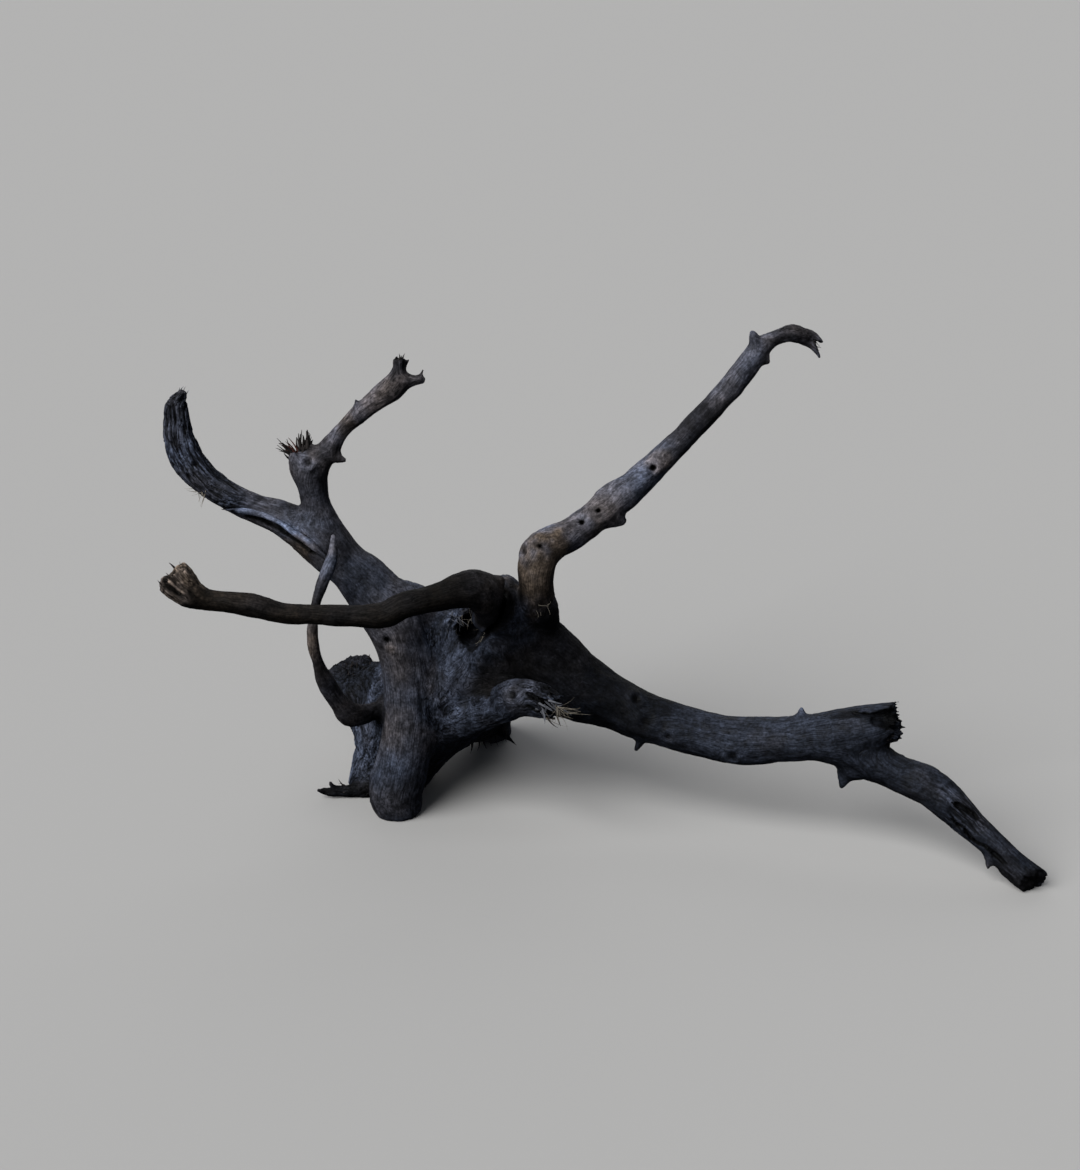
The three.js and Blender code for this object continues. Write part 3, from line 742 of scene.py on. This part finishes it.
def thinned(obj, triangles):
    """Thin the mesh out: flat stretches get larger triangles, and the detail keeps its small ones."""
    thin = obj.modifiers.new("thin", "DECIMATE")
    thin.ratio = min(1.0, triangles / (2 * len(obj.data.polygons)))
    thin.use_collapse_triangulate = True
    mesh = evaluated_mesh(obj)
    obj.modifiers.clear()
    old = obj.data
    obj.data = mesh
    bpy.data.meshes.remove(old)


def evaluated_mesh(obj):
    """The object's mesh after its modifiers."""
    graph = bpy.context.evaluated_depsgraph_get()
    return bpy.data.meshes.new_from_object(obj.evaluated_get(graph), depsgraph=graph)


def make_root():
    """The whole root as one skin, with what its material needs to know kept on it."""
    verts, quads = skin(FINE)
    _, grain = evaluate(verts, with_grain=True)
    look = look_at(verts, grain[:, 3:6])
    wall_shade = grain[:, 6]
    grain = bent_grain(verts, grain[:, :3])
    rise, wear_and_shade = relief(verts, grain, look[:, 0])
    verts = verts + normals_of(verts, quads) * rise[:, None]
    verts[:, 2] = np.maximum(verts[:, 2], 0)
    root = new_object("root_wood", verts * MM, quads)
    store(root.data, "grain", "FLOAT_VECTOR", grain * MM)
    store(root.data, "groove", "FLOAT", look[:, 0])
    store(root.data, "brown", "FLOAT", look[:, 1])
    # The paleness carries painted light and shade: it grows on what faces up and falls on the undersides.
    facing_up = normals_of(verts, quads)[:, 2]
    store(root.data, "pale", "FLOAT", look[:, 2] * (LEVEL_PAINTED_LIGHT + TOP_PAINTED_LIGHT * facing_up))
    # Painted light and shade: the colour is darker in the cuts and knot hearts and paler on the ribs and knot
    # rings.
    store(root.data, "wear_and_shade", "FLOAT", wear_and_shade)
    # Painted shade: the walls of cracks, holes and rotted hollows are darkened in the colour.
    store(root.data, "wall_shade", "FLOAT", wall_shade)
    # Painted shade: how closed in each point is, which the material turns into darker colour in hollows and
    # crevices.
    store(root.data, "occlusion_shade", "FLOAT", occlusion_shade(verts, normals_of(verts, quads)))
    thinned(root, SKIN_TRIANGLES)
    for face in root.data.polygons:
        face.use_smooth = True
    root.data.materials.append(weathered_wood())
    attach(root, BODY)
    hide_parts(NODE)
    return root


# ---------------------------------------------------------------- materials
def linear(text):
    """An sRGB hex colour as linear RGBA."""
    values = [int(text[i:i + 2], 16) / 255 for i in (1, 3, 5)]
    return [v / 12.92 if v <= 0.04045 else ((v + 0.055) / 1.055) ** 2.4 for v in values] + [1]


def add(tree, kind, inputs=None, **settings):
    """A node with its settings, its sockets set, and links to its sockets from other nodes' outputs."""
    node = tree.nodes.new(kind)
    for name, value in settings.items():
        setattr(node, name, value)
    for key, value in (inputs or {}).items():
        socket = node.inputs[key]
        if isinstance(value, bpy.types.NodeSocket):
            tree.links.new(value, socket)
        else:
            socket.default_value = value
    return node


def new_material(name):
    """A material, its tree and its shader."""
    material = bpy.data.materials.new(name)
    material.use_nodes = True
    tree = material.node_tree
    return material, tree, tree.nodes["Principled BSDF"]


BLUE_GREY = "#3D4351"   # the weathered skin of the wood
BROWN_GREY = "#483F37"  # where it is rubbed or sheltered

# Noise drawn out along the grain: name, width and length in mm, detail.
GRAIN_PATTERNS = [("streak", 0.8, 13, 3.0), ("fibre", 0.4, 4, 2.0), ("crack", 1.25, 34, 1.0)]
# Noise that ignores the grain: name, size in mm, detail.
LOOSE_PATTERNS = [("cloud", 24, 3.0), ("mottle", 5, 5.0), ("speck", 1.3, 2.0)]
# How each value shades the wood: name, its low and high, then the share of the colour at each.
# The last three rows paint light and shade into the colour: darker in the cuts and knot hearts, paler on the
# ribs and knot rings, darker on the walls of hollows and where the wood is closed in.
TONES = [
    ("mottle", 0.3, 0.7, 0.52, 1.5), ("streak", 0.3, 0.7, 0.76, 1.25), ("fibre", 0.25, 0.75, 0.78, 1.22),
    ("speck", 0.3, 0.7, 0.62, 1.34), ("wear_and_shade", -0.7, 0.35, 0.22, 1.45), ("wall_shade", 0.1, 0.9, 1.0, 0.22),
    ("occlusion_shade", 0.05, 0.8, 1.1, 0.2),
]
CRACK_WIDTH = (0.012, 0.075)  # of the crack noise's range: on smooth wood, and on deeply grooved wood
CRACK_SHADE = (0.3, 0.85)     # how much of its colour the wood loses in such a crack
# What each pattern adds to the height of the bump.
BUMPS = [("streak", 0.5), ("fibre", 0.35), ("mottle", 0.3), ("speck", 0.25)]
BUMP_STRENGTH = 0.8
BUMP_HEIGHT = 0.6             # mm
DRIFT = 0.22                  # how far the clouds turn the wood's colour to brown and back
SKIN_ROUGHNESS = (0.5, 0.8)   # of the smoothest and the roughest mottles
SKIN_SHINE = 0.14             # dusty, open wood hardly shines
TORN_SHINE = 0.3
WOOD_IOR = 1.45
TORN_PATCH = 2.5              # mm over which a torn fibre's shade changes
TORN_SHADES = (0.45, 1.6)     # of its colour, at the darkest and the palest


def weathered_wood():
    """Bare wood that has lain out for years: grey-blue where the weather reached it, brown where rubbed.

    The grain gives the eye fine dark and pale streaks, the mould gives it specks and clouds.
    Painted shade darkens the cuts, the walls of hollows, closed-in places and undersides;
    painted light makes the ribs and what faces up paler.
    """
    material, tree, shader = new_material("weathered_driftwood")
    grain = add(tree, "ShaderNodeAttribute", attribute_name="grain").outputs["Vector"]
    place = add(tree, "ShaderNodeTexCoord").outputs["Object"]
    field = {}
    for name, width, length, detail in GRAIN_PATTERNS:
        size = (1 / (length * MM), 1 / (width * MM), 1 / (width * MM))
        along = add(tree, "ShaderNodeVectorMath", {0: grain, 1: size}, operation="MULTIPLY").outputs[0]
        field[name] = add(tree, "ShaderNodeTexNoise", {
            "Vector": along, "Scale": 1.0, "Detail": detail,
        }).outputs[0]
    for name, size, detail in LOOSE_PATTERNS:
        field[name] = add(tree, "ShaderNodeTexNoise", {
            "Vector": place, "Scale": 1 / (size * MM), "Detail": detail,
        }).outputs[0]
    for name in ("groove", "brown", "pale", "wear_and_shade", "wall_shade", "occlusion_shade"):
        field[name] = add(tree, "ShaderNodeAttribute", attribute_name=name).outputs["Fac"]

    tone = field["pale"]
    for name, low, high, least, most in TONES:
        share = add(tree, "ShaderNodeMapRange", {
            "Value": field[name], "From Min": low, "From Max": high, "To Min": least, "To Max": most,
        }, interpolation_type="SMOOTHSTEP").outputs[0]
        tone = add(tree, "ShaderNodeMath", {0: tone, 1: share}, operation="MULTIPLY").outputs[0]

    off_middle = add(tree, "ShaderNodeMath", {0: field["crack"], 1: 0.5}, operation="SUBTRACT").outputs[0]
    apart = add(tree, "ShaderNodeMath", {0: off_middle}, operation="ABSOLUTE").outputs[0]
    wide = add(tree, "ShaderNodeMapRange", {
        "Value": field["groove"], "To Min": CRACK_WIDTH[0], "To Max": CRACK_WIDTH[1],
    }).outputs[0]
    deep = add(tree, "ShaderNodeMapRange", {
        "Value": field["groove"], "To Min": CRACK_SHADE[0], "To Max": CRACK_SHADE[1],
    }).outputs[0]
    cracked = add(tree, "ShaderNodeMapRange", {
        "Value": apart, "From Min": 0.0, "From Max": wide, "To Min": deep, "To Max": 0.0,
    }, interpolation_type="SMOOTHSTEP").outputs[0]
    kept = add(tree, "ShaderNodeMath", {0: 1.0, 1: cracked}, operation="SUBTRACT").outputs[0]
    tone = add(tree, "ShaderNodeMath", {0: tone, 1: kept}, operation="MULTIPLY").outputs[0]

    drift = add(tree, "ShaderNodeMapRange", {
        "Value": field["cloud"], "From Min": 0.35, "From Max": 0.65, "To Min": -DRIFT, "To Max": DRIFT,
    }).outputs[0]
    brown = add(tree, "ShaderNodeMath", {
        0: field["brown"], 1: drift,
    }, operation="ADD", use_clamp=True).outputs[0]
    hue = add(tree, "ShaderNodeMix", {
        "Factor": brown, "A": linear(BLUE_GREY), "B": linear(BROWN_GREY),
    }, data_type="RGBA")
    tint = next(socket for socket in hue.outputs if socket.type == "RGBA")
    colour = add(tree, "ShaderNodeVectorMath", {0: tint, "Scale": tone}, operation="SCALE").outputs[0]
    tree.links.new(colour, shader.inputs["Base Color"])

    height = kept
    for name, share in BUMPS:
        height = add(tree, "ShaderNodeMath", {
            0: field[name], 1: share, 2: height,
        }, operation="MULTIPLY_ADD").outputs[0]
    bump = add(tree, "ShaderNodeBump", {
        "Height": height, "Strength": BUMP_STRENGTH, "Distance": BUMP_HEIGHT * MM,
    })
    tree.links.new(bump.outputs[0], shader.inputs["Normal"])
    rough = add(tree, "ShaderNodeMapRange", {
        "Value": field["mottle"], "From Min": 0.3, "From Max": 0.7,
        "To Min": SKIN_ROUGHNESS[0], "To Max": SKIN_ROUGHNESS[1],
    }).outputs[0]
    tree.links.new(rough, shader.inputs["Roughness"])
    shader.inputs["Specular IOR Level"].default_value = SKIN_SHINE
    shader.inputs["IOR"].default_value = WOOD_IOR
    return material


def torn_wood(name, hex_colour, rough):
    """Torn fibres and splinters: drier and rougher than the skin, each shaded a little differently."""
    material, tree, shader = new_material(name)
    place = add(tree, "ShaderNodeTexCoord").outputs["Object"]
    patch = add(tree, "ShaderNodeTexNoise", {
        "Vector": place, "Scale": 1 / (TORN_PATCH * MM), "Detail": 3.0,
    }).outputs[0]
    shade = add(tree, "ShaderNodeMapRange", {
        "Value": patch, "From Min": 0.3, "From Max": 0.7,
        "To Min": TORN_SHADES[0], "To Max": TORN_SHADES[1],
    }).outputs[0]
    colour = add(tree, "ShaderNodeVectorMath", {
        0: linear(hex_colour)[:3], "Scale": shade,
    }, operation="SCALE").outputs[0]
    tree.links.new(colour, shader.inputs["Base Color"])
    shader.inputs["Roughness"].default_value = rough
    shader.inputs["IOR"].default_value = WOOD_IOR
    shader.inputs["Specular IOR Level"].default_value = TORN_SHINE
    return material


# ---------------------------------------------------------------- splinters and fibres
TUFT_INPUTS = [
    ("Wood", "NodeSocketObject"), ("Count", "NodeSocketInt"), ("Reach", "NodeSocketFloat"),
    ("Length", "NodeSocketFloat"), ("Thickness", "NodeSocketFloat"), ("Spread", "NodeSocketFloat"),
    ("Bend", "NodeSocketFloat"), ("Seed", "NodeSocketInt"), ("Material", "NodeSocketMaterial"),
]
# What differs from sliver to sliver: name, least, most. Spot and lean are shares of Reach and Spread.
SCATTERS = [
    ("spot", (-1, -1, -1), (1, 1, 0.5)), ("lean", (-1, -1, 0), (1, 1, 0)),
    ("spin", (0, 0, 0), (0, 0, math.tau)), ("size", (0.5, 0.5, 0.3), (1.2, 1.2, 1.0)),
]
RANDOM_SEED = 8    # the number of the random node's seed socket
SLIVER_SIDES = 5
SLIVER_STEPS = 5
SLIVER_TIP = 0.15  # its thickness at the tip, as a share of that at its root
SUNK = 0.1         # how much of its length stands inside the wood
BOW_MIDDLE = 0.6   # how far along its length the bend is pulled from


def tuft_tree():
    """Tapered, bent slivers that grow out of the wood near the origin, along +Z."""
    tree = bpy.data.node_groups.new("tuft", "GeometryNodeTree")
    for name, kind in TUFT_INPUTS:
        tree.interface.new_socket(name, in_out="INPUT", socket_type=kind)
    tree.interface.new_socket("Mesh", in_out="OUTPUT", socket_type="NodeSocketGeometry")
    given = add(tree, "NodeGroupInput").outputs
    varied = {}
    for shift, (name, least, most) in enumerate(SCATTERS):
        seed = add(tree, "ShaderNodeMath", {0: given["Seed"], 1: shift}, operation="ADD").outputs[0]
        varied[name] = add(tree, "FunctionNodeRandomValue", {
            0: least, 1: most, RANDOM_SEED: seed,
        }, data_type="FLOAT_VECTOR").outputs[0]

    spot = add(tree, "ShaderNodeVectorMath", {0: varied["spot"], "Scale": given["Reach"]}, operation="SCALE")
    points = add(tree, "GeometryNodePoints", {
        "Count": given["Count"], "Position": spot.outputs[0],
    }).outputs[0]
    wood = add(tree, "GeometryNodeObjectInfo", {"Object": given["Wood"]}, transform_space="RELATIVE")
    skin_spot = add(tree, "GeometryNodeProximity", {0: wood.outputs["Geometry"]}).outputs["Position"]
    rooted = add(tree, "GeometryNodeSetPosition", {"Geometry": points, "Position": skin_spot}).outputs[0]

    end = add(tree, "ShaderNodeCombineXYZ", {0: given["Bend"], 2: 1.0}).outputs[0]
    bow = add(tree, "GeometryNodeCurveQuadraticBezier", {
        "Resolution": SLIVER_STEPS, "Start": (0, 0, -SUNK), "Middle": (0, 0, BOW_MIDDLE), "End": end,
    }).outputs[0]
    spine = add(tree, "GeometryNodeTransform", {"Geometry": bow, "Scale": given["Length"]}).outputs[0]
    along = add(tree, "GeometryNodeSplineParameter").outputs[0]
    taper = add(tree, "ShaderNodeMapRange", {"Value": along, "To Min": 1.0, "To Max": SLIVER_TIP}).outputs[0]
    half = add(tree, "ShaderNodeMath", {0: given["Thickness"], 1: 0.5}, operation="MULTIPLY").outputs[0]
    section = add(tree, "GeometryNodeCurvePrimitiveCircle", {
        "Resolution": SLIVER_SIDES, "Radius": half,
    }).outputs[0]
    sliver = add(tree, "GeometryNodeCurveToMesh", {
        "Curve": spine, "Profile Curve": section, "Scale": taper, "Fill Caps": True,
    }).outputs[0]

    lean = add(tree, "ShaderNodeVectorMath", {0: varied["lean"], "Scale": given["Spread"]}, operation="SCALE")
    turn = add(tree, "ShaderNodeVectorMath", {
        0: lean.outputs[0], 1: varied["spin"],
    }, operation="ADD").outputs[0]
    rotation = add(tree, "FunctionNodeEulerToRotation", {0: turn}).outputs[0]
    tuft = add(tree, "GeometryNodeInstanceOnPoints", {
        "Points": rooted, "Instance": sliver, "Rotation": rotation, "Scale": varied["size"],
    }).outputs[0]
    real = add(tree, "GeometryNodeRealizeInstances", {"Geometry": tuft}).outputs[0]
    done = add(tree, "GeometryNodeSetMaterial", {"Geometry": real, "Material": given["Material"]}).outputs[0]
    add(tree, "NodeGroupOutput", {"Mesh": done})
    return tree


# Name, place, the way it points, patch, count, length, thickness in mm, spread in radians, bend, finish.
TUFTS = [
    ("fork_splinters_left", (-149, 5, 190), (-0.6, -0.1, 0.8), 2, 14, 11.5, 1.9, 0.4, 0.15, "dark"),
    ("fork_splinters_red", (-147, 4, 191), (-0.4, -0.1, 0.9), 2, 8, 10, 1.4, 0.35, 0.2, "red"),
    ("fork_splinters_top", (-142, 6, 193), (0.1, 0.1, 1), 3.5, 30, 9.5, 1.9, 0.28, 0.1, "dark"),
    ("twig_splinters", (-93, -9, 241), (0.1, 0, 1), 2.2, 8, 3.5, 1.1, 0.5, 0.2, "dark"),
    ("stub_splinters", (-22, -53, 79), (0.75, -0.35, -0.45), 4.5, 16, 10, 1.4, 0.55, 0.2, "grey"),
    ("stub_shreds", (-17, -54, 77), (0.6, -0.2, -0.9), 4, 9, 9, 1.2, 0.6, 0.4, "dark"),
    ("stub_fibres", (-17, -56, 77), (0.85, -0.3, -0.5), 4, 24, 12, 0.4, 0.9, 0.5, "pale"),
    ("stub_long_fibres", (-14, -56, 75), (1, -0.1, -0.05), 2, 4, 20, 0.4, 0.3, 0.3, "pale"),
    ("hollow_fibres", (-60, -8, 103), (-0.1, -0.9, -0.3), 6, 22, 9, 0.3, 1.2, 0.5, "pale"),
    ("hollow_rim_fibres", (-68, -6, 106), (0.3, -0.8, -0.5), 5, 16, 7, 0.4, 0.9, 0.4, "grey"),
    ("right_end_splinters", (146, -55, 64), (0.95, -0.2, -0.1), 3, 14, 1.7, 1.0, 0.25, 0.15, "dark"),
    ("front_tip_splinters", (-199, -63, 152), (-0.5, 0, 0.85), 7, 14, 4, 1.3, 0.4, 0.15, "dark"),
    ("limb_edge_fibres", (-197, 14, 168), (-0.6, -0.3, -0.6), 4, 12, 7, 0.5, 0.8, 0.4, "pale"),
    ("paddle_tip_fibres", (-204, 20, 219), (0.35, 0, 0.9), 2, 7, 3.5, 0.7, 0.5, 0.3, "grey"),
    ("up_tip_fibres", (110, 21, 242), (0.7, 0, -0.6), 2, 6, 5, 0.7, 0.6, 0.3, "dark"),
    ("stump_shreds", (-126, 40, 62), (-0.1, 0, 1), 9, 16, 2.5, 1.2, 0.5, 0.2, "dark"),
    ("low_twig_shreds", (-134, 6, 5), (-0.8, 0, 0.5), 6, 8, 4, 1.0, 0.6, 0.2, "dark"),
    ("belly_shreds", (-52, 40, 22), (0.3, -0.2, -0.9), 12, 16, 7, 1.2, 0.7, 0.3, "dark"),
    ("back_shreds", (-66, 70, 30), (0.3, 0.6, 0.2), 8, 8, 5, 0.8, 0.8, 0.3, "dark"),
    ("knee_scratches", (-23, -33, 121), (0.5, -0.5, -0.7), 4, 6, 6, 0.35, 1.2, 0.3, "pale"),
]

FINISHES = {
    # Bast fibre, dried out and frayed: matt, straw-grey threads that stand out against the wood.
    "pale": torn_wood("pale_bast_fibre", "#8F887C", 0.9),
    # Splinters that the weather has greyed: as cool as the skin, and a little paler.
    "grey": torn_wood("grey_splinter", "#5A5C62", 0.85),
    # Splinters that have rotted dark: nearly black, with no shine.
    "dark": torn_wood("dark_splinter", "#2A2625", 0.9),
    # Splinters of heartwood, broken later than the rest: a dull red-brown.
    "red": torn_wood("red_brown_splinter", "#43241E", 0.85),
}


def make_tuft(tree, seed, name, place, way, reach, count, length, thickness, spread, bend, finish):
    """One tuft, grown in its own frame on the finished root and then brought back to the root's frame."""
    tuft = new_object(name, [], [])
    turn = Vector(way).to_track_quat("Z", "Y").to_matrix().to_4x4()
    tuft.matrix_world = Matrix.Translation(Vector(place) * MM) @ turn
    own_frame = tuft.matrix_world.copy()
    grow = tuft.modifiers.new("grow", "NODES")
    grow.node_group = tree
    values = [root, count, reach * MM, length * MM, thickness * MM, spread, bend, seed, FINISHES[finish]]
    sockets = [item for item in tree.interface.items_tree if item.in_out == "INPUT"]
    for socket, value in zip(sockets, values):
        grow[socket.identifier] = value
    mesh = evaluated_mesh(tuft)
    tuft.modifiers.clear()
    tuft.data = mesh
    tuft.matrix_world = Matrix.Identity(4)
    mesh.transform(own_frame)
    spots = np.empty(3 * len(mesh.vertices))
    mesh.vertices.foreach_get("co", spots)
    spots[2::3] = np.maximum(spots[2::3], 0)
    mesh.vertices.foreach_set("co", spots)
    for face in mesh.polygons:
        face.use_smooth = True
    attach(tuft, BODY)
    return tuft


root = make_root()
shared_tree = tuft_tree()
for seed, row in enumerate(TUFTS):
    make_tuft(shared_tree, seed, *row)


# ---------------------------------------------------------------- stage
FLOOR_HALF = 150           # m, far enough that its edge is lost
FLOOR_COLOUR = "#C2C1BF"
# Name, where it shines from, strength in W/m2, degrees across.
SUNS = [("key", (-0.6, -0.55, 0.68), 3.2, 50), ("back", (0.1, 0.85, 0.5), 0.5, 60)]
BACKDROP = "#B4B4B4"
FILL_COLOUR = "#CCD2DE"
LOW_FILL = 0.03
HIGH_FILL = 0.2
FILL_RISE = (-0.3, 0.9)    # the heights on the sky between which the fill grows


def make_stage():
    """A pale floor that runs out of sight, a soft sun from the upper left, a faint one behind, a dim room."""
    half = FLOOR_HALF
    corners = [(-half, -half, 0), (half, -half, 0), (half, half, 0), (-half, half, 0)]
    floor = new_object("floor", corners, [(0, 1, 2, 3)])
    # Matt wall paint: an even pale ground that shows the shadow and nothing else.
    paint, _, shader = new_material("pale_floor")
    shader.inputs["Base Color"].default_value = linear(FLOOR_COLOUR)
    shader.inputs["Roughness"].default_value = 1.0
    shader.inputs["Specular IOR Level"].default_value = 0.0
    floor.data.materials.append(paint)
    floor.visible_diffuse = False
    floor.visible_glossy = False
    make_room()
    for name, way, strength, softness in SUNS:
        light = bpy.data.lights.new(name, "SUN")
        light.energy = strength
        light.angle = math.radians(softness)
        sun = bpy.data.objects.new(name, light)
        sun.rotation_euler = Vector(way).to_track_quat("Z", "Y").to_euler()
        bpy.context.scene.collection.objects.link(sun)
    bpy.context.scene.view_settings.view_transform = "Standard"


def make_room():
    """The room is pale to look at, and lights the wood dimly, from above more than from below."""
    world = bpy.data.worlds.new("room")
    world.use_nodes = True
    tree = world.node_tree
    place = add(tree, "ShaderNodeTexCoord").outputs["Generated"]
    height = add(tree, "ShaderNodeSeparateXYZ", {0: place}).outputs["Z"]
    rise = add(tree, "ShaderNodeMapRange", {
        "Value": height, "From Min": FILL_RISE[0], "From Max": FILL_RISE[1],
        "To Min": LOW_FILL, "To Max": HIGH_FILL,
    }).outputs[0]
    seen = add(tree, "ShaderNodeLightPath").outputs["Is Camera Ray"]
    strength = add(tree, "ShaderNodeMix", {"Factor": seen, "A": rise, "B": 1.0}).outputs[0]
    colour = add(tree, "ShaderNodeMix", {
        "Factor": seen, "A": linear(FILL_COLOUR), "B": linear(BACKDROP),
    }, data_type="RGBA")
    back = tree.nodes["Background"]
    tree.links.new(next(socket for socket in colour.outputs if socket.type == "RGBA"), back.inputs["Color"])
    tree.links.new(strength, back.inputs["Strength"])
    bpy.context.scene.world = world


make_stage()
